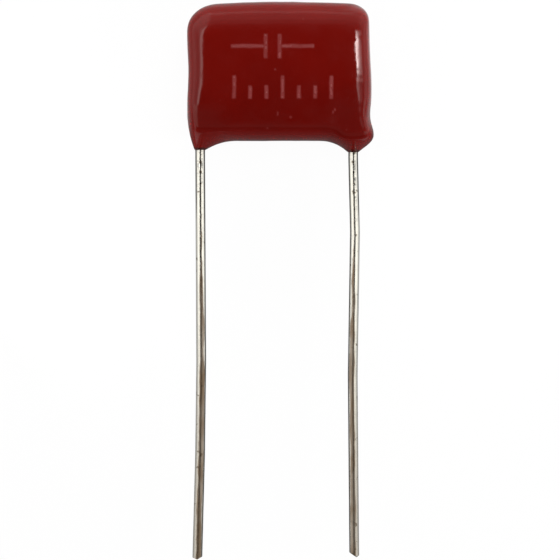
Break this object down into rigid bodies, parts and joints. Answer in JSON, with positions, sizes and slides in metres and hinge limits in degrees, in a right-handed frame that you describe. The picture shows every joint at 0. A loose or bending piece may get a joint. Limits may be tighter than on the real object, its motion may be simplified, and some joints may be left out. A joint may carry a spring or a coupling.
{
  "type": "dipped film capacitor",
  "caption": "Flat wound film capacitor in a glossy red dipped epoxy coat, with long, slightly bent radial wire leads leaving its lower edge.",
  "frame": {"origin": "middle of the flat back face, halfway between the leads; the part lies on this face", "axes": "+X from the left lead to the right lead, +Y from the leads up the body, +Z from the back face to the front face"},
  "size_m": [0.0123, 0.0365, 0.005],
  "materials": {
    "epoxy": "deep red epoxy, dipped and cured, glossy and slightly uneven",
    "metallized_film": "metallized polypropylene film, wound and hot pressed, silvery",
    "plain_film": "plain polypropylene cover film, clear to milky",
    "sprayed_zinc": "flame-sprayed zinc, matt grey and grainy",
    "tinned_wire": "bright tin plating with a few dull spots"
  },
  "bodies": {
    "root": {"epoxy_coating": "epoxy", "film_winding": "metallized_film", "cover_film": "plain_film", "end_spray_left": "sprayed_zinc", "end_spray_right": "sprayed_zinc", "lead_left": "tinned_wire", "lead_right": "tinned_wire"}
  },
  "joints": []
}
